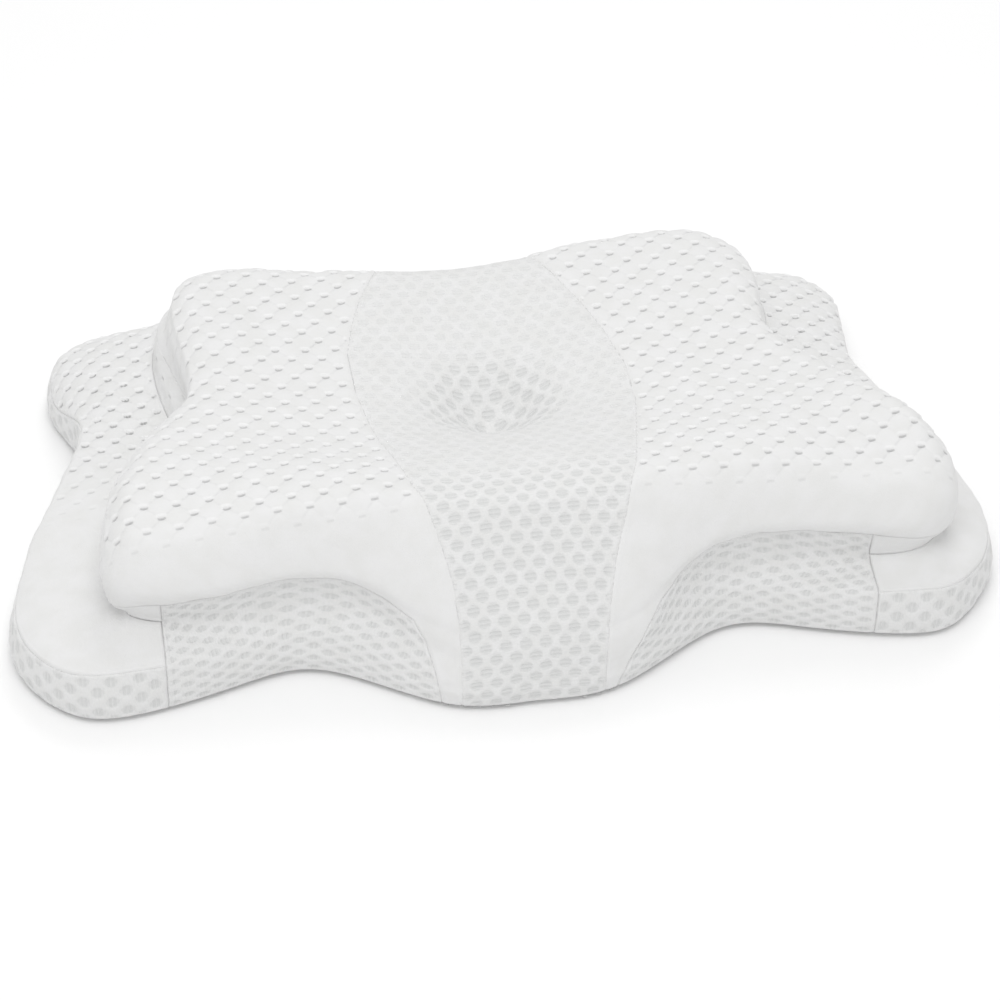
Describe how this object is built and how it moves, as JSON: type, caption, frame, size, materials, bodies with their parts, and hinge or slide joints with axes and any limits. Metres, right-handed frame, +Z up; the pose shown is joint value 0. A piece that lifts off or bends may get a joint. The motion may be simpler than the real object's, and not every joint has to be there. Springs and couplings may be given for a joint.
{
  "type": "cervical pillow",
  "caption": "Contoured neck pillow with a raised butterfly top layer, side wings, a neck roll, a head dimple and a sewn jacquard and mesh cover.",
  "frame": {"origin": "on the floor under the middle of the pillow's bounding box", "axes": "+Z up out of the top; +X along the pillow's long side, to the right seen from the neck side; -Y towards the neck side"},
  "size_m": [0.628, 0.3716, 0.1201],
  "materials": {
    "filling": "plain white knit over foam",
    "mesh_knit": "white mesh knit with hexagon dimples",
    "jacquard_knit": "white puffed jacquard knit"
  },
  "bodies": {
    "root": {"pillow_body": "filling", "centre_mesh_panel": "mesh_knit", "top_panel_left": "jacquard_knit", "top_panel_right": "jacquard_knit", "side_strip_left": "jacquard_knit", "side_strip_right": "jacquard_knit", "wing_panel_left": "jacquard_knit", "wing_panel_right": "jacquard_knit", "wing_gusset_left": "mesh_knit", "wing_gusset_right": "mesh_knit", "front_mesh_left": "mesh_knit", "front_mesh_right": "mesh_knit"}
  },
  "joints": []
}
